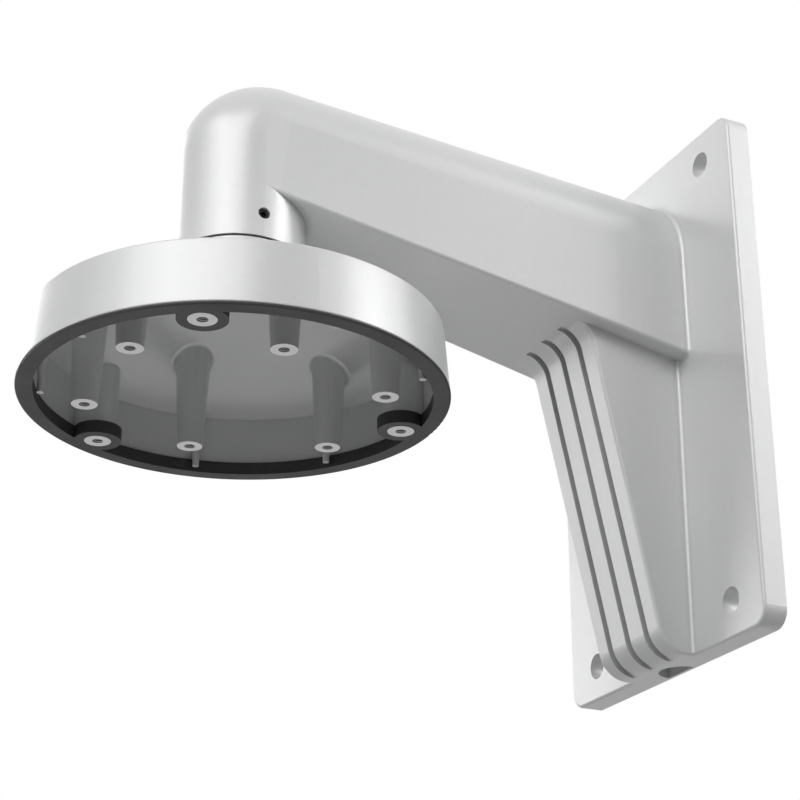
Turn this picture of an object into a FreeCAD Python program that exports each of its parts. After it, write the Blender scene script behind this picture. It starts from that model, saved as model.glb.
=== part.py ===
import FreeCAD, Part

import math
import os
from FreeCAD import Vector

# Camera wall bracket, all sizes in millimetres.
# The origin is the centre of the wall plate's back face. The wall is the plane Y = 0,
# the arm reaches out along -Y and +Z is up.

# Wall plate
plate_width = 117.0
plate_height = 182.6
plate_thickness = 8.5
plate_corner_r = 6.0
plate_edge_r = 1.0
plate_rim = 4.5
plate_skin = 3.6
plate_rib = 3.0

# Wall screw holes, measured in from the plate's edges
screw_inset_x = 17.3
screw_inset_z = 12.0
screw_hole_r = 4.5
screw_boss_r = 9.0

# Arm, spigot and elbow, with heights measured down from the plate's top edge
reach = 162.0
spigot_r = 21.2
spigot_end_below_top = 66.1
elbow_r = 7.5
elbow_below_top = 0.85
arm_root_r = 27.5
arm_root_below_top = 12.9
under_nose_below_top = 48.2
under_root_below_top = 78.7
arm_edge_r = 1.0
root_fillet_r = 1.2
casting_wall = 3.4
inner_edge_r = 1.0

# Gusset under the arm
gusset_half_top = 20.3
gusset_half_foot = 18.8
gusset_front_top_y = -43.2
gusset_front_foot_y = -19.6
gusset_top_fillet_r = 10.0
gusset_foot_r = 10.0
gusset_edge_r = 1.0
gusset_sink = 0.3
groove_count = 3
groove_pitch = 11.0
groove_width = 2.9
groove_depth = 3.3
groove_run_out = 0.8
gusset_front_wall = 6.3

# Socket in the gusset's foot for a cable that comes in from below
conduit_r = 7.5
conduit_wall = 3.0
conduit_web = 1.2
conduit_height = 13.3

# Adapter cap
cap_r = 68.0
cap_taper = 1.9
cap_side_height = 22.2
cap_edge_r = 0.6
cap_lip = 1.8
cap_wall = 3.2
cap_inner_draft = 0.8
roof_angle = 27.2
roof_thickness = 3.0
collar_inset = 0.4
collar_height = 2.1
neck_length = 16.0
neck_wall = 3.2
neck_clearance = 0.1

# Camera fixing posts, rim bosses and gasket pins inside the cap
post_end_r = 4.2
post_draft = 3.4
post_root_r = 1.5
post_x = 22.8
post_y = 41.7
side_post_x = 41.3
boss_inset = 10.2
boss_count = 3
boss_end_r = 4.4
boss_column_r = 6.0
thread_hole_r = 1.75
thread_depth = 14.0
pin_inset = 7.5
pin_offset_angle = 38.3
pin_end_r = 1.1
pin_draft = 2.2
pin_short = 1.1

# Rim gasket and neck seal
gasket_height = 4.3
gasket_width = 5.5
gasket_flange = 0.8
gasket_edge_r = 0.5
gasket_gap = 0.1
gasket_ear_r = 7.7
seal_thickness = 0.7
seal_step = 0.5

# Lock screw that stops the cap from turning
lock_screw_up = 8.2
lock_hole_r = 2.0
lock_screw_gap = 0.05
lock_screw_length = 2.4
lock_socket_af = 2.0
lock_socket_depth = 1.4

# Places that follow from the sizes above
half_w = plate_width / 2
half_h = plate_height / 2
screw_x = half_w - screw_inset_x
screw_z = half_h - screw_inset_z
bore_r = spigot_r - casting_wall
neck_r = bore_r - neck_clearance
spigot_end_z = half_h - spigot_end_below_top
elbow_y = -reach + elbow_r
elbow_z = half_h - elbow_below_top - elbow_r - spigot_r
arm_root_z = half_h - arm_root_below_top - arm_root_r
under_nose_z = half_h - under_nose_below_top
under_root_z = half_h - under_root_below_top
under_rate = (under_root_z - under_nose_z) / (reach - plate_thickness)
roof_rise = math.tan(math.radians(roof_angle))
roof_drop = roof_thickness / math.cos(math.radians(roof_angle))
cap_top_r = cap_r - cap_taper
inner_top_r = cap_top_r - cap_wall
collar_r = spigot_r - collar_inset
collar_top_z = spigot_end_z - seal_thickness
collar_foot_z = collar_top_z - collar_height
shoulder_z = collar_foot_z - (cap_top_r - collar_r) * roof_rise
cap_rim_z = shoulder_z - cap_side_height
seat_z = cap_rim_z + gasket_height
wall_end_z = cap_rim_z + gasket_flange
wall_end_r = cap_r - cap_taper * gasket_flange / cap_side_height
lip_inner_r = cap_r - cap_lip
boss_circle_r = cap_r - boss_inset
pin_circle_r = cap_r - pin_inset
lock_screw_z = spigot_end_z + lock_screw_up


def arm_slope():
    """Angle by which the arm's centre line falls towards the wall."""
    rise = elbow_z + elbow_r - arm_root_z
    run = -plate_thickness - elbow_y
    guess = math.atan2(rise, run)
    for _ in range(20):
        start_y = elbow_y + elbow_r * math.sin(guess)
        start_z = elbow_z + elbow_r * math.cos(guess)
        guess = math.atan2(start_z - arm_root_z, -plate_thickness - start_y)
    return guess


slope = arm_slope()
along = Vector(0, math.cos(slope), -math.sin(slope))
upward = Vector(0, math.sin(slope), math.cos(slope))
arm_start = Vector(0, elbow_y, elbow_z) + upward * elbow_r
arm_root = Vector(0, -plate_thickness, arm_root_z)
arm_length = (arm_root - arm_start).Length
arm_growth = (arm_root_r - spigot_r) / arm_length


def under_z(y):
    """Height of the arm's flat underside at y."""
    return under_nose_z + (y + reach) * under_rate


def depth_to_under(point, raise_by):
    """Distance from a point of the centre line, square to it, down to the underside."""
    gap = point.z - under_z(point.y) - raise_by
    return gap / (upward.z - under_rate * upward.y)


def d_wire(centre, up, radius, depth, edge_r, round_top):
    """Closed outline with flat sides and underside, rounded lower edges, and a half-round or flat top."""
    side = Vector(1, 0, 0)
    right = centre + side * radius
    left = centre - side * radius
    low_right = right - up * (depth - edge_r)
    low_left = left - up * (depth - edge_r)
    foot_right = centre + side * (radius - edge_r) - up * depth
    foot_left = centre - side * (radius - edge_r) - up * depth
    turn = edge_r * (1 - math.sqrt(0.5))
    mid_right = centre + side * (radius - turn) - up * (depth - turn)
    mid_left = centre - side * (radius - turn) - up * (depth - turn)
    top = Part.makeLine(right, left)
    if round_top:
        top = Part.Arc(right, centre + up * radius, left).toShape()
    edges = [
        top,
        Part.makeLine(left, low_left),
        Part.Arc(low_left, mid_left, foot_left).toShape(),
        Part.makeLine(foot_left, foot_right),
        Part.Arc(foot_right, mid_right, low_right).toShape(),
        Part.makeLine(low_right, right),
    ]
    return Part.Wire(edges)


def arm_tube(inset, extra, edge_r):
    """Spigot, elbow and widening arm in one, with every wall moved in by inset."""
    radius = spigot_r - inset
    end = arm_start + along * (arm_length + extra)
    end_r = radius + arm_growth * (arm_length + extra)
    start_depth = depth_to_under(arm_start, inset)

    # The straight arm, from the elbow's end into the plate
    first = d_wire(arm_start, upward, radius, start_depth, edge_r, True)
    last = d_wire(end, upward, end_r, depth_to_under(end, inset), edge_r, True)
    beam = Part.makeLoft([first, last], True, True)

    # The spigot, and the round outside of the elbow
    spigot_top = Vector(0, -reach, elbow_z)
    spigot = Part.makeCylinder(radius, elbow_z - spigot_end_z, Vector(0, -reach, spigot_end_z))

    bend = Vector(0, elbow_y, elbow_z)
    side = Vector(radius, 0, 0)
    section = Part.Wire([
        Part.Arc(spigot_top + side, spigot_top - Vector(0, radius, 0), spigot_top - side).toShape(),
        Part.makeLine(spigot_top - side, bend - side),
        Part.makeLine(bend - side, bend + side),
        Part.makeLine(bend + side, spigot_top + side),
    ])
    elbow = Part.Face(section).revolve(bend, Vector(-1, 0, 0), 90 + math.degrees(slope))

    # The flat-sided fill between the spigot, the elbow and the arm's underside
    nose_depth = elbow_z - under_z(-reach) - inset
    inner = d_wire(bend, upward, radius, start_depth - elbow_r, edge_r, False)
    outer = d_wire(spigot_top, Vector(0, 0, 1), radius, nose_depth, edge_r, False)
    knuckle = Part.makeLoft([outer, inner], True, True)
    return spigot.multiFuse([elbow, knuckle, beam]).removeSplitter()


def box_between(low, high):
    size = high - low
    return Part.makeBox(size.x, size.y, size.z, low)


def fillet_edges(shape, radius, wanted):
    edges = [e for e in shape.Edges if wanted(e)]
    return shape.makeFillet(radius, edges)


def corner_arc(before, corner, after, radius):
    """Tangent points and middle of the arc that rounds a corner of an outline."""
    u = (before - corner).normalize()
    v = (after - corner).normalize()
    half = math.acos(u * v) / 2
    reach_back = radius / math.tan(half)
    centre = corner + (u + v).normalize() * (radius / math.sin(half))
    middle = centre - (u + v).normalize() * radius
    return corner + u * reach_back, middle, corner + v * reach_back, centre


def gusset_corners():
    """Corners of the gusset's front outline before rounding: arm end, top, foot and plate end."""
    top = Vector(0, gusset_front_top_y, under_z(gusset_front_top_y) + gusset_sink)
    foot = Vector(0, gusset_front_foot_y, -half_h)
    arm_side = Vector(0, -reach, under_nose_z + gusset_sink)
    plate_side = Vector(0, 0, -half_h)
    return arm_side, top, foot, plate_side


def gusset_solid():
    arm_side, top, foot, plate_side = gusset_corners()
    a, a_mid, b, _ = corner_arc(arm_side, top, foot, gusset_top_fillet_r)
    c, c_mid, d, _ = corner_arc(top, foot, plate_side, gusset_foot_r)
    back_y = -plate_thickness / 2
    sunk = Vector(0, 0, casting_wall / 2)
    back_top = Vector(0, back_y, under_z(back_y) + casting_wall / 2)
    back_foot = Vector(0, back_y, -half_h)
    outline = Part.Wire([
        Part.Arc(a, a_mid, b).toShape(),
        Part.makeLine(b, c),
        Part.Arc(c, c_mid, d).toShape(),
        Part.makeLine(d, back_foot),
        Part.makeLine(back_foot, back_top),
        Part.makeLine(back_top, a + sunk),
        Part.makeLine(a + sunk, a),
    ])
    wide = Part.Face(outline).extrude(Vector(plate_width, 0, 0))
    wide.translate(Vector(-half_w, 0, 0))
    block = wide.common(gusset_taper(0))

    def front_edge(edge):
        box = edge.BoundBox
        runs_down = box.XLength < gusset_half_foot
        return runs_down and box.YMax < back_y - gusset_edge_r and box.ZMax < a.z + gusset_edge_r

    return fillet_edges(block, gusset_edge_r, front_edge)


def gusset_taper(inset):
    """Tall wedge between the gusset's two slightly converging sides."""
    rate = (gusset_half_top - gusset_half_foot) / (under_z(gusset_front_top_y) + half_h)
    low_x = gusset_half_foot - inset
    high_x = low_x + rate * plate_height
    corners = [
        Vector(-low_x, -reach, -half_h),
        Vector(low_x, -reach, -half_h),
        Vector(high_x, -reach, half_h),
        Vector(-high_x, -reach, half_h),
        Vector(-low_x, -reach, -half_h),
    ]
    return Part.Face(Part.makePolygon(corners)).extrude(Vector(0, reach + plate_thickness, 0))


def groove_cutters():
    """Shallow channels down the gusset's sloping front, running out at both ends."""
    arm_side, top, foot, plate_side = gusset_corners()
    a, a_mid, b, a_centre = corner_arc(arm_side, top, foot, gusset_top_fillet_r)
    c, c_mid, d, c_centre = corner_arc(top, foot, plate_side, gusset_foot_r)
    inward = (b - a_centre).normalize()
    deep_b = b + inward * groove_depth
    deep_c = c + inward * groove_depth
    bend_depth = groove_depth * groove_run_out
    deep_a_mid = a_mid + (a_mid - a_centre).normalize() * bend_depth
    deep_c_mid = c_mid - (c_mid - c_centre).normalize() * bend_depth
    proud_c_mid = c_mid + (c_mid - c_centre).normalize()
    proud_a_mid = a_mid - (a_mid - a_centre).normalize()
    below = Vector(0, 0, -1)
    outline = Part.Wire([
        Part.Arc(a, deep_a_mid, deep_b).toShape(),
        Part.makeLine(deep_b, deep_c),
        Part.Arc(deep_c, deep_c_mid, d).toShape(),
        Part.makeLine(d, d + below),
        Part.Arc(d + below, proud_c_mid, c - inward).toShape(),
        Part.makeLine(c - inward, b - inward),
        Part.Arc(b - inward, proud_a_mid, a + below).toShape(),
        Part.makeLine(a + below, a),
    ])
    cutter = Part.Face(outline).extrude(Vector(groove_width, 0, 0))
    cutters = []
    for i in range(groove_count):
        x = (i - (groove_count - 1) / 2) * groove_pitch - groove_width / 2
        copy = cutter.copy()
        copy.translate(Vector(x, 0, 0))
        cutters.append(copy)
    return cutters


def plate_solid():
    low = Vector(-half_w, -plate_thickness, -half_h)
    high = Vector(half_w, 0, half_h)
    plate = box_between(low, high)

    def corner(edge):
        return abs(edge.BoundBox.YLength - plate_thickness) < 1e-6

    def front(edge):
        return edge.BoundBox.YMax < -plate_thickness + 1e-6

    plate = fillet_edges(plate, plate_corner_r, corner)
    return fillet_edges(plate, plate_edge_r, front)


def screw_places():
    places = []
    for sx in (-1, 1):
        for sz in (-1, 1):
            places.append(Vector(sx * screw_x, 0, sz * screw_z))
    return places


def y_cylinder(radius, centre, y_from, y_to):
    start = Vector(centre.x, y_from, centre.z)
    return Part.makeCylinder(radius, y_to - y_from, start, Vector(0, 1, 0))


def back_hollow():
    """Shallow pan in the plate's back, which leaves the screw bosses and the ribs standing."""
    low = Vector(-half_w + plate_rim, plate_skin - plate_thickness, -half_h + plate_rim)
    high = Vector(half_w - plate_rim, 1, half_h - plate_rim)
    pan = box_between(low, high)

    def corner(edge):
        return abs(edge.BoundBox.YLength - (high.y - low.y)) < 1e-6

    pan = fillet_edges(pan, plate_corner_r - plate_rim + 1, corner)
    kept = [y_cylinder(screw_boss_r, p, low.y - 1, 2) for p in screw_places()]
    for step in (-1, 0, 1):
        middle = Vector(0, 0, step * screw_z / 2)
        kept.append(box_between(middle - Vector(half_w, plate_thickness, plate_rib / 2),
                                middle + Vector(half_w, 2, plate_rib / 2)))
    for sx in (-1, 1):
        middle = Vector(sx * screw_x, 0, 0)
        kept.append(box_between(middle - Vector(plate_rib / 2, plate_thickness, half_h),
                                middle + Vector(plate_rib / 2, 2, half_h)))
    return pan.cut(kept[0].multiFuse(kept[1:]))


def gusset_hollow():
    """Space inside the gusset, open to the wall and into the arm."""
    arm_side, top, foot, plate_side = gusset_corners()
    forward = (foot - top).normalize()
    inward = Vector(0, -forward.z, forward.y)
    front = top + inward * gusset_front_wall
    floor_z = -half_h + casting_wall
    low = front + forward * ((floor_z - front.z) / forward.z)
    high = front - forward * (2 * casting_wall)
    corners = [
        Vector(-half_w, low.y, low.z),
        Vector(-half_w, 1, floor_z),
        Vector(-half_w, 1, high.z),
        Vector(-half_w, high.y, high.z),
        Vector(-half_w, low.y, low.z),
    ]
    wide = Part.Face(Part.makePolygon(corners)).extrude(Vector(plate_width, 0, 0))
    return wide.common(gusset_taper(casting_wall))


def half_column(radius, back_y, low_z, high_z):
    """Upright half cylinder in front of the plane at back_y."""
    column = Part.makeCylinder(radius, high_z - low_z, Vector(0, back_y, low_z))
    front = box_between(Vector(-radius, back_y - radius, low_z), Vector(radius, back_y, high_z))
    return column.common(front)


def wall_arm():
    """The bracket casting: plate, gusset, arm and spigot in one hollow piece."""
    room_low = Vector(-half_w, -2 * reach, -half_h)
    room_high = Vector(half_w, -plate_thickness / 2, 2 * half_h)
    tube = arm_tube(0, plate_thickness, arm_edge_r).common(box_between(room_low, room_high))
    body = plate_solid().multiFuse([tube, gusset_solid()]).removeSplitter()
    body = body.Solids[0]

    def at_plate(edge):
        box = edge.BoundBox
        on_face = box.YLength < 1e-5 and abs(box.YMin + plate_thickness) < 1e-5
        return on_face and box.XMax < half_w - plate_edge_r - 1 and box.XMin > -half_w + plate_edge_r + 1

    body = fillet_edges(body, root_fillet_r, at_plate)
    for cutter in groove_cutters():
        body = body.cut(cutter)

    socket_top_z = -half_h + conduit_height
    socket = half_column(conduit_r + conduit_wall, 0, -half_h, socket_top_z)
    hollow = arm_tube(casting_wall, 3 * plate_thickness, inner_edge_r)
    mouth = Part.makeCylinder(bore_r, 2 * casting_wall, Vector(0, -reach, spigot_end_z - casting_wall))
    foot_space = gusset_hollow().multiFuse([back_hollow()]).cut(socket)
    body = body.cut(hollow.multiFuse([mouth, foot_space]))
    body = body.cut(half_column(conduit_r, -conduit_web, -half_h - 1, socket_top_z + 1))
    for place in screw_places():
        body = body.cut(y_cylinder(screw_hole_r, place, -plate_thickness - 1, 1))
    way_start = Vector(bore_r - 1, -reach, lock_screw_z)
    return body.cut(Part.makeCylinder(lock_hole_r, 2 * casting_wall, way_start, Vector(1, 0, 0)))


def turned(points):
    """Solid of revolution about the spigot's axis from (radius, height) points."""
    corners = [Vector(r, -reach, z) for r, z in points]
    corners.append(corners[0])
    face = Part.Face(Part.makePolygon(corners))
    return face.revolve(Vector(0, -reach, 0), Vector(0, 0, 1), 360)


def ceiling_z(radius):
    return shoulder_z + (cap_top_r - radius) * roof_rise - roof_drop


def cap_core():
    """Everything below the middle of the roof and inside the middle of the rim wall."""
    core_r = cap_top_r - cap_wall / 2
    points = [
        (0, cap_rim_z),
        (core_r, cap_rim_z),
        (core_r, ceiling_z(core_r) + roof_drop / 2),
        (neck_r, ceiling_z(neck_r) + roof_drop / 2),
        (0, ceiling_z(neck_r) + roof_drop / 2),
    ]
    return turned(points)


def drafted_pin(x, y, end_r, end_z, draft):
    """Round pin that widens from its lower end up into the cap's roof."""
    centre_distance = math.hypot(x, y)
    height = ceiling_z(centre_distance) + roof_thickness / 2 - end_z
    top_r = end_r + height * math.tan(math.radians(draft))
    start = Vector(x, y - reach, end_z)
    return Part.makeCone(end_r, top_r, height + top_r * roof_rise, start)


def post_places():
    places = [(sx * post_x, sy * post_y) for sx in (-1, 1) for sy in (-1, 1)]
    places.extend([(-side_post_x, 0), (side_post_x, 0)])
    return places


def boss_places():
    places = []
    for i in range(boss_count):
        angle = math.radians(90 + i * 360 / boss_count)
        places.append((boss_circle_r * math.cos(angle), boss_circle_r * math.sin(angle)))
    return places


def pin_places():
    places = []
    for i in range(boss_count):
        for side in (-1, 1):
            angle = math.radians(90 + i * 360 / boss_count + side * pin_offset_angle)
            places.append((pin_circle_r * math.cos(angle), pin_circle_r * math.sin(angle)))
    return places


def rim_boss(x, y):
    """Column that grows out of the rim wall, with a thinner end through the gasket."""
    start = Vector(x, y - reach, seat_z)
    height = ceiling_z(boss_circle_r - boss_column_r) - seat_z + roof_thickness / 2
    column = Part.makeCylinder(boss_column_r, height, start)
    web = Part.makeBox(cap_top_r - cap_wall / 2 - boss_circle_r, 2 * boss_column_r, height)
    web.translate(Vector(0, -boss_column_r, 0))
    web.rotate(Vector(0, 0, 0), Vector(0, 0, 1), math.degrees(math.atan2(y, x)))
    web.translate(start)
    end = Part.makeCylinder(boss_end_r, gasket_height, Vector(x, y - reach, cap_rim_z))
    return column.multiFuse([web, end])


def adapter_cap():
    """The lower casting: rim wall, cone roof, collar, neck, posts, bosses and pins."""
    bore = neck_r - neck_wall
    outer = [
        (0, wall_end_z),
        (wall_end_r, wall_end_z),
        (cap_top_r, shoulder_z),
        (collar_r, collar_foot_z),
        (collar_r, collar_top_z),
        (neck_r, collar_top_z),
        (neck_r, collar_top_z + neck_length),
        (0, collar_top_z + neck_length),
    ]
    inner = [
        (0, cap_rim_z - 1),
        (lip_inner_r, cap_rim_z - 1),
        (lip_inner_r, seat_z),
        (inner_top_r + cap_inner_draft, seat_z),
        (inner_top_r, ceiling_z(inner_top_r)),
        (bore, ceiling_z(bore)),
        (bore, collar_top_z + neck_length + 1),
        (0, collar_top_z + neck_length + 1),
    ]
    full = turned(outer)

    def outer_edge(edge):
        box = edge.BoundBox
        level = box.ZLength < 1e-6
        at_rim = abs(box.ZMin - wall_end_z) < 1e-6 or abs(box.ZMin - shoulder_z) < 1e-6
        return level and at_rim and box.XLength > 2 * cap_top_r - 1

    full = fillet_edges(full, cap_edge_r, outer_edge)
    shell = full.cut(turned(inner))

    core = cap_core()
    stems = [drafted_pin(x, y, post_end_r, cap_rim_z, post_draft) for x, y in post_places()]
    shell = shell.multiFuse([s.common(core) for s in stems]).removeSplitter()

    def post_root(edge):
        box = edge.BoundBox
        small = box.XLength < 4 * post_end_r
        return small and box.ZMin > shoulder_z and box.ZLength > 1 and len(edge.Vertexes) == 1

    shell = fillet_edges(shell, post_root_r, post_root)

    pins = [drafted_pin(x, y, pin_end_r, cap_rim_z + pin_short, pin_draft) for x, y in pin_places()]
    bosses = [rim_boss(x, y) for x, y in boss_places()]
    body = shell.multiFuse([p.common(core) for p in pins + bosses])
    for x, y in post_places() + boss_places():
        start = Vector(x, y - reach, cap_rim_z - 1)
        body = body.cut(Part.makeCylinder(thread_hole_r, thread_depth + 1, start))
    return body


def rim_gasket():
    """Rubber ring on the rim's shelf, with a flange under the rim's edge and an ear round each boss end."""
    centre = Vector(0, -reach, cap_rim_z)
    disc = Part.makeCylinder(lip_inner_r - gasket_gap, gasket_height, centre)
    flange = Part.makeCylinder(cap_r, gasket_flange, centre)

    def outer_edge(edge):
        box = edge.BoundBox
        return box.ZMax < cap_rim_z + 1e-6 and box.XLength > 2 * cap_r - 1

    flange = fillet_edges(flange, gasket_edge_r, outer_edge)
    ring = disc.fuse(flange).cut(Part.makeCylinder(cap_r - gasket_width, gasket_height, centre))
    ears = []
    for x, y in boss_places():
        ear = Part.makeCylinder(gasket_ear_r, gasket_height, Vector(x, y - reach, cap_rim_z))
        ears.append(ear.common(disc))
    ring = ring.multiFuse(ears).removeSplitter()
    for x, y in boss_places():
        hole = Part.makeCylinder(boss_end_r + gasket_gap, gasket_height, Vector(x, y - reach, cap_rim_z))
        ring = ring.cut(hole)
    return ring


def neck_seal():
    """Rubber ring between the cap's collar and the spigot's end."""
    centre = Vector(0, -reach, collar_top_z)
    disc = Part.makeCylinder(spigot_r - seal_step, seal_thickness, centre)
    return disc.cut(Part.makeCylinder(bore_r, seal_thickness, centre))


def lock_set_screw():
    """Headless screw with a hexagon socket, in the side of the spigot."""
    start = Vector(bore_r, -reach, lock_screw_z)
    out = Vector(1, 0, 0)
    screw = Part.makeCylinder(lock_hole_r - lock_screw_gap, lock_screw_length, start, out)
    corner_r = lock_socket_af / math.sqrt(3)
    floor_x = bore_r + lock_screw_length - lock_socket_depth
    corners = []
    for i in range(7):
        angle = math.radians(60 * i)
        y = corner_r * math.cos(angle) - reach
        z = corner_r * math.sin(angle) + lock_screw_z
        corners.append(Vector(floor_x, y, z))
    socket = Part.Face(Part.makePolygon(corners)).extrude(out * lock_socket_depth)
    return screw.cut(socket)


makers = [wall_arm, adapter_cap, rim_gasket, neck_seal, lock_set_screw]
os.makedirs("parts", exist_ok=True)
for maker in makers:
    maker().exportStep("parts/" + maker.__name__ + ".step")
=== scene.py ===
"""Looks of the camera wall bracket: its paint, rubber and metal, the screw threads, light and camera."""
import math

import bpy
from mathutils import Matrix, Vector


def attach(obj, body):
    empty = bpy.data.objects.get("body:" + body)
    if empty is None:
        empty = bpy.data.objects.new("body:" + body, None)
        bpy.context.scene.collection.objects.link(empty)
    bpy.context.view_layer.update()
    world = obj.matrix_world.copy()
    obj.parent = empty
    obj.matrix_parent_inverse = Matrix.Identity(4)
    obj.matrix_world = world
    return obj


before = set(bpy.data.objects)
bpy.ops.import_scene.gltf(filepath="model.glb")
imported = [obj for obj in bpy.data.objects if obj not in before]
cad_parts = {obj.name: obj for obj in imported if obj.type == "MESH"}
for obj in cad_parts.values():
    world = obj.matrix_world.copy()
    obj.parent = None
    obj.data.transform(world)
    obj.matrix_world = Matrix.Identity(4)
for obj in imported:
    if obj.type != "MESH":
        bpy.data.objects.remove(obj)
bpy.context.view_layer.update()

# Places from the bracket's source, in metres
REACH = 0.162
RIM_Z = -0.02308
POST_PLACES = [
    (-0.0228, -0.0417),
    (-0.0228, 0.0417),
    (0.0228, -0.0417),
    (0.0228, 0.0417),
    (-0.0413, 0),
    (0.0413, 0),
]
BOSS_CIRCLE_R = 0.0578
BOSS_ANGLES = (90, 210, 330)
THREAD_HOLE_R = 0.00175

# The cap is bare metal below this height, which is just over the ends of its posts and bosses
BARE_END_Z = RIM_Z + 0.00008

# Thread in the camera screw holes, in metres
THREAD_CREST_R = 0.00158
THREAD_ROOT_R = 0.00182
THREAD_PITCH = 0.0007
THREAD_START = 0.0004
THREAD_TURNS = 8
THREAD_STEPS = 20
THREAD_FADE_STEPS = 5

# Half height of the thread's ridge at its root and at its crest, as shares of the pitch
ROOT_HALF = 0.4
CREST_HALF = 0.06

# Linear colours
PAINT_SHADE = (0.735, 0.742, 0.745)
PAINT_WHITE = (0.765, 0.768, 0.766)
PAINT_DUST = (0.72, 0.72, 0.715)
METAL_DARK = (0.50, 0.50, 0.51)
METAL_LIGHT = (0.58, 0.58, 0.59)
RUBBER_DARK = (0.020, 0.020, 0.022)
RUBBER_LIGHT = (0.032, 0.032, 0.034)
RUBBER_CLEAN = (0.026, 0.026, 0.027)
RUBBER_DUST = (0.06, 0.06, 0.058)

# Share of metal in the paint and its specular level, which give it a silky sheen
PEARL = 0.08
PAINT_SHINE = 1.0

# Most of a noise texture lies between these two values
NOISE_LOW = 0.3
NOISE_HIGH = 0.7

# Floor, far below the bracket, and the share of plain white that the camera and gloss see in it
FLOOR_Z = -1.1
FLOOR_HALF = 20.0
FLOOR_GREY = 0.6
FLOOR_ROUGHNESS = 0.7
FLOOR_GLOW = 0.8

# Camera fitted to the photograph, in degrees, metres and millimetres
CAMERA_AZIMUTH = -25.364
CAMERA_ELEVATION = -23.838
CAMERA_PLACE = (0.529098, -0.355292, -0.270654)
LENS = 87.944

# Softboxes as azimuth and elevation in degrees, width and height in metres, and watts
LAMP_DISTANCE = 1.6
LAMPS = {
    "softbox_left": (-162, 24, 0.56, 0.8, 4.0),
    "softbox_front": (-50, 22, 0.56, 0.8, 3.3),
    "softbox_right": (50, 22, 0.56, 0.8, 5.8),
    "softbox_back_right": (70, 22, 0.56, 0.8, 2.5),
    "high_softbox_left": (-90, 38, 0.56, 0.9, 1.4),
    "high_softbox_front_left": (-70, 38, 0.56, 0.9, 4.3),
    "high_softbox_front": (-50, 38, 0.56, 0.9, 2.2),
    "high_softbox_front_right": (-30, 38, 0.56, 0.9, 4.1),
    "high_softbox_right": (30, 38, 0.56, 0.9, 1.2),
    "high_softbox_back_right": (50, 38, 0.56, 0.9, 1.7),
    "high_softbox_back": (70, 38, 0.56, 0.9, 1.1),
    "low_softbox_left": (-110, 3, 0.56, 0.6, 2.2),
    "low_softbox_far_left": (-154, 6, 0.56, 0.6, 2.0),
}


def direction(azimuth, elevation):
    """Unit vector at this azimuth from +X towards +Y and this height above the horizon, in degrees."""
    a = math.radians(azimuth)
    e = math.radians(elevation)
    return Vector((math.cos(a) * math.cos(e), math.sin(a) * math.cos(e), math.sin(e)))


def add_object(name, data):
    made = bpy.data.objects.new(name, data)
    bpy.context.scene.collection.objects.link(made)
    return made


def look_back(thing, away):
    """Turn a lamp or camera so that it looks against this direction."""
    thing.rotation_mode = "QUATERNION"
    thing.rotation_quaternion = away.to_track_quat("Z", "Y")


def make_camera():
    data = bpy.data.cameras.new("camera")
    data.lens = LENS
    data.sensor_width = 36.0
    data.clip_start = 0.01
    data.clip_end = 50.0
    camera = add_object("camera", data)
    camera.location = CAMERA_PLACE
    look_back(camera, direction(CAMERA_AZIMUTH, CAMERA_ELEVATION))
    bpy.context.scene.camera = camera


def make_softbox(name, azimuth, elevation, width, height, power):
    """Area lamp that stands round the middle of the arm and faces it."""
    data = bpy.data.lights.new(name, "AREA")
    data.shape = "RECTANGLE"
    data.size = width
    data.size_y = height
    data.energy = power
    lamp = add_object(name, data)
    away = direction(azimuth, elevation)
    lamp.location = Vector((0, -REACH / 2, 0)) + away * LAMP_DISTANCE
    look_back(lamp, away)


def grey(value):
    return (value, value, value)


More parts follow.
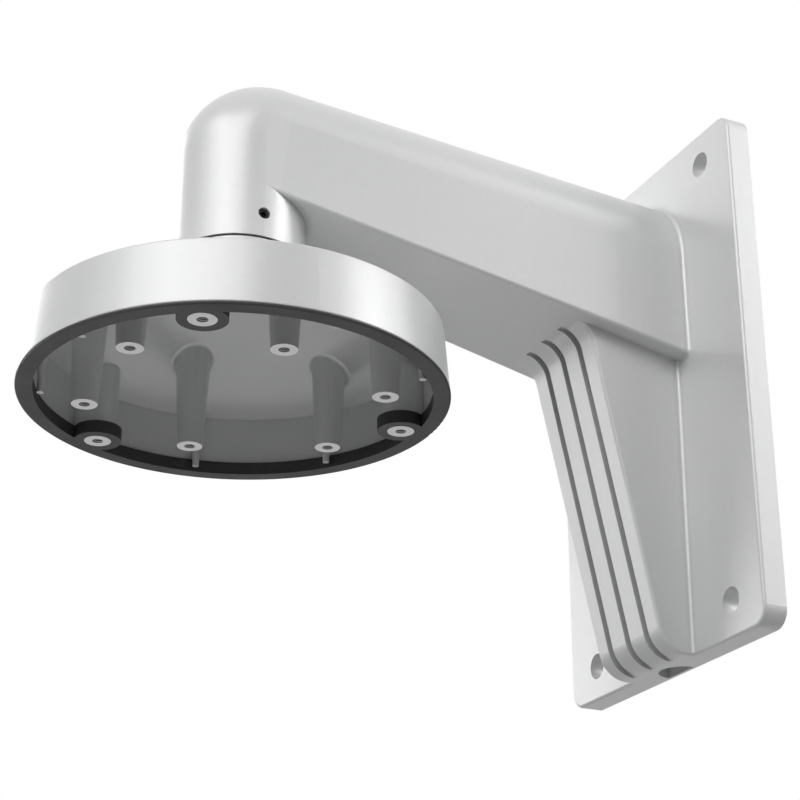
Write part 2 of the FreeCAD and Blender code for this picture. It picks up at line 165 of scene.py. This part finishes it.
class Surface:
    """A material under construction, with short ways to add noise, ramps, mixes and bump."""

    def __init__(self, name):
        self.material = bpy.data.materials.new(name)
        self.material.use_nodes = True
        self.tree = self.material.node_tree
        self.shader = self.tree.nodes["Principled BSDF"]
        self.place = self.node("ShaderNodeTexCoord").outputs["Object"]

    def node(self, kind, **values):
        made = self.tree.nodes.new(kind)
        for key, value in values.items():
            setattr(made, key, value)
        return made

    def link(self, source, target):
        self.tree.links.new(source, target)

    def noise(self, scale, detail=3.0):
        texture = self.node("ShaderNodeTexNoise")
        texture.inputs["Scale"].default_value = scale
        texture.inputs["Detail"].default_value = detail
        self.link(self.place, texture.inputs["Vector"])
        return texture.outputs["Fac"]

    def ramp(self, source, first_colour, last_colour, start=NOISE_LOW, end=NOISE_HIGH):
        """The first colour up to start, the last colour from end on, and a blend between."""
        made = self.node("ShaderNodeValToRGB")
        first, last = made.color_ramp.elements
        first.position = start
        first.color = (*first_colour, 1)
        last.position = end
        last.color = (*last_colour, 1)
        self.link(source, made.inputs["Fac"])
        return made.outputs["Color"]

    def calculate(self, operation, first, second):
        """Result of a Math node on two values, each a number or another node's output."""
        made = self.node("ShaderNodeMath", operation=operation)
        for socket, value in zip(made.inputs, (first, second)):
            if isinstance(value, (int, float)):
                socket.default_value = value
            else:
                self.link(value, socket)
        return made.outputs[0]

    def mix(self, mask, first, second, share=1.0):
        """The first colour, and this share of the second where the mask is 1."""
        if share < 1.0:
            mask = self.calculate("MULTIPLY", mask, share)
        made = self.node("ShaderNodeMix", data_type="RGBA")
        # Of its many sockets, a Mix node uses these for its factor and for colours
        self.link(mask, made.inputs[0])
        self.link(first, made.inputs[6])
        self.link(second, made.inputs[7])
        return made.outputs[2]

    def edges(self, radius):
        """1 on sharp edges and 0 on plain faces."""
        rounded = self.node("ShaderNodeBevel", samples=4)
        rounded.inputs["Radius"].default_value = radius
        plain = self.node("ShaderNodeNewGeometry")
        turn = self.node("ShaderNodeVectorMath", operation="DOT_PRODUCT")
        self.link(rounded.outputs["Normal"], turn.inputs[0])
        self.link(plain.outputs["Normal"], turn.inputs[1])
        return self.ramp(turn.outputs["Value"], grey(1), grey(0), start=0.86, end=0.99)

    def hollows(self, distance):
        """1 deep in narrow grooves and corners, and 0 on open faces."""
        shade = self.node("ShaderNodeAmbientOcclusion", samples=8)
        shade.inputs["Distance"].default_value = distance
        return self.ramp(shade.outputs["AO"], grey(1), grey(0), start=0.35, end=0.85)

    def lower_ends(self):
        """1 on the flat lower ends of the posts and rim bosses, and 0 elsewhere."""
        split = self.node("ShaderNodeSeparateXYZ")
        self.link(self.place, split.inputs[0])
        return self.calculate("LESS_THAN", split.outputs["Z"], BARE_END_Z)

    def bump(self, scale, strength, distance):
        """Fine grain over the whole surface."""
        made = self.node("ShaderNodeBump")
        made.inputs["Strength"].default_value = strength
        made.inputs["Distance"].default_value = distance
        self.link(self.noise(scale, detail=2), made.inputs["Height"])
        self.link(made.outputs["Normal"], self.shader.inputs["Normal"])

    def cover(self, colour, rough):
        """Give the shader its colour and roughness."""
        self.link(colour, self.shader.inputs["Base Color"])
        self.link(rough, self.shader.inputs["Roughness"])


def paint_material(name, bare_ends):
    """White powder paint on a casting, with shade painted into its grooves and corners, and bare
    machined ends on the camera's posts if wanted.
    """
    surface = Surface(name)
    metallic = surface.shader.inputs["Metallic"]
    cloud = surface.noise(scale=14)
    speck = surface.noise(scale=420, detail=2)
    clean = surface.ramp(cloud, PAINT_SHADE, PAINT_WHITE)
    dusty = surface.ramp(speck, PAINT_DUST, PAINT_WHITE, start=0.35, end=0.5)
    colour = surface.mix(cloud, clean, dusty, share=0.35)
    worn = surface.ramp(speck, grey(0.70), grey(0.79), start=0.4, end=0.6)
    colour = surface.mix(surface.edges(radius=0.0005), colour, worn, share=0.5)
    # Painted shade: a darker grey mixed in deep in grooves and corners, where shade falls
    painted_shade = surface.ramp(speck, grey(0.36), grey(0.46))
    colour = surface.mix(surface.hollows(distance=0.004), colour, painted_shade, share=0.65)
    rough = surface.ramp(cloud, grey(0.285), grey(0.325))
    metallic.default_value = PEARL
    if bare_ends:
        bare = surface.lower_ends()
        colour = surface.mix(bare, colour, surface.ramp(speck, METAL_DARK, METAL_LIGHT))
        rough = surface.mix(bare, rough, surface.ramp(speck, grey(0.32), grey(0.42)))
        surface.link(surface.calculate("MAXIMUM", bare, PEARL), metallic)
    surface.cover(colour, rough)
    surface.shader.inputs["Specular IOR Level"].default_value = PAINT_SHINE
    surface.bump(scale=1400, strength=0.12, distance=0.0002)
    return surface.material


def rubber_material():
    """Black moulded rubber with a dull, slightly dusty skin."""
    surface = Surface("black_rubber")
    cloud = surface.noise(scale=60)
    speck = surface.noise(scale=700, detail=2)
    clean = surface.ramp(cloud, RUBBER_DARK, RUBBER_LIGHT)
    dusty = surface.ramp(speck, RUBBER_CLEAN, RUBBER_DUST, start=0.4, end=0.75)
    colour = surface.mix(speck, clean, dusty, share=0.4)
    rubbed = surface.ramp(cloud, grey(0.05), grey(0.075))
    colour = surface.mix(surface.edges(radius=0.0004), colour, rubbed, share=0.6)
    surface.cover(colour, surface.ramp(cloud, grey(0.5), grey(0.62)))
    surface.bump(scale=1800, strength=0.2, distance=0.0002)
    return surface.material


def metal_material(name, dark, light):
    """Bare or blackened metal with a fine uneven finish, between two greys."""
    surface = Surface(name)
    cloud = surface.noise(scale=900)
    plain = surface.ramp(cloud, grey(dark), grey(light))
    worn = surface.ramp(cloud, grey(light), grey(light * 1.5))
    colour = surface.mix(surface.edges(radius=0.0002), plain, worn, share=0.6)
    surface.cover(colour, surface.ramp(cloud, grey(0.4), grey(0.5)))
    surface.shader.inputs["Metallic"].default_value = 1.0
    surface.bump(scale=3000, strength=0.1, distance=0.0001)
    return surface.material


def seen_rays(tree):
    """1 for rays from the camera, in gloss or through glass, and 0 for scattered light."""
    path = tree.nodes.new("ShaderNodeLightPath")
    total = path.outputs["Is Camera Ray"]
    for name in ("Is Glossy Ray", "Is Transmission Ray"):
        more = tree.nodes.new("ShaderNodeMath")
        more.operation = "MAXIMUM"
        tree.links.new(total, more.inputs[0])
        tree.links.new(path.outputs[name], more.inputs[1])
        total = more.outputs[0]
    return total


def floor_material():
    """Pale floor that looks nearly white to the camera and in gloss, and keeps the object's shadow."""
    surface = Surface("pale_floor")
    surface.shader.inputs["Base Color"].default_value = (*grey(FLOOR_GREY), 1)
    surface.shader.inputs["Roughness"].default_value = FLOOR_ROUGHNESS
    glow = surface.node("ShaderNodeEmission")
    glow.inputs["Color"].default_value = (1, 1, 1, 1)
    mix = surface.node("ShaderNodeMixShader")
    share = surface.calculate("MULTIPLY", seen_rays(surface.tree), FLOOR_GLOW)
    surface.link(share, mix.inputs["Fac"])
    surface.link(surface.shader.outputs[0], mix.inputs[1])
    surface.link(glow.outputs[0], mix.inputs[2])
    surface.link(mix.outputs[0], surface.tree.nodes["Material Output"].inputs["Surface"])
    return surface.material


def make_floor():
    mesh = bpy.data.meshes.new("floor")
    h = FLOOR_HALF
    corners = [(-h, -h, FLOOR_Z), (h, -h, FLOOR_Z), (h, h, FLOOR_Z), (-h, h, FLOOR_Z)]
    mesh.from_pydata(corners, [], [(0, 1, 2, 3)])
    mesh.materials.append(floor_material())
    floor = add_object("floor", mesh)


def make_world():
    """White behind the object and in its gloss, with all other light left to the softboxes."""
    world = bpy.data.worlds.new("studio")
    bpy.context.scene.world = world
    world.use_nodes = True
    tree = world.node_tree
    background = tree.nodes["Background"]
    background.inputs["Color"].default_value = (1, 1, 1, 1)
    tree.links.new(seen_rays(tree), background.inputs["Strength"])


def screw_hole_places():
    """Centres of the screw holes in the posts and rim bosses, from the cap's axis."""
    places = list(POST_PLACES)
    for angle in BOSS_ANGLES:
        a = math.radians(angle)
        places.append((BOSS_CIRCLE_R * math.cos(a), BOSS_CIRCLE_R * math.sin(a)))
    return places


def add_thread(name, x, y, material):
    """Screw thread inside a blind hole, as one ridge that winds up from the hole's mouth."""
    corners = []
    faces = []
    count = THREAD_TURNS * THREAD_STEPS
    for i in range(count + 1):
        angle = 2 * math.pi * i / THREAD_STEPS
        z = RIM_Z + THREAD_START + THREAD_PITCH * i / THREAD_STEPS
        fade = min(1.0, i / THREAD_FADE_STEPS, (count - i) / THREAD_FADE_STEPS)
        crest = THREAD_HOLE_R + (THREAD_CREST_R - THREAD_HOLE_R) * fade
        section = (
            (THREAD_ROOT_R, -ROOT_HALF),
            (crest, -CREST_HALF),
            (crest, CREST_HALF),
            (THREAD_ROOT_R, ROOT_HALF),
        )
        for radius, up in section:
            across = x + radius * math.cos(angle)
            along = y - REACH + radius * math.sin(angle)
            corners.append((across, along, z + up * THREAD_PITCH))
        if i:
            here = len(section) * i
            before = here - len(section)
            for k in range(len(section)):
                after = (k + 1) % len(section)
                faces.append((before + k, before + after, here + after, here + k))
    faces.append((0, 3, 2, 1))
    faces.append((here, here + 1, here + 2, here + 3))
    mesh = bpy.data.meshes.new(name)
    mesh.from_pydata(corners, [], faces)
    mesh.materials.append(material)
    thread = add_object(name, mesh)
    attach(thread, "root")


def set_material(name, material):
    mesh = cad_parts[name].data
    mesh.materials.clear()
    mesh.materials.append(material)


make_camera()
make_world()
make_floor()
for name, values in LAMPS.items():
    make_softbox(name, *values)

rubber = rubber_material()
set_material("wall_arm", paint_material("white_paint", False))
set_material("adapter_cap", paint_material("white_paint_bare_ends", True))
set_material("rim_gasket", rubber)
set_material("neck_seal", rubber)
set_material("lock_set_screw", metal_material("black_steel", 0.03, 0.05))

# The threads are cut aluminium, but get a dark grey as painted shade for the inside of the holes
shaded_thread_metal = metal_material("shaded_thread_metal", 0.22, 0.3)
for number, (x, y) in enumerate(screw_hole_places(), start=1):
    add_thread("thread_%d" % number, x, y, shaded_thread_metal)

bpy.context.scene.view_settings.view_transform = "Standard"
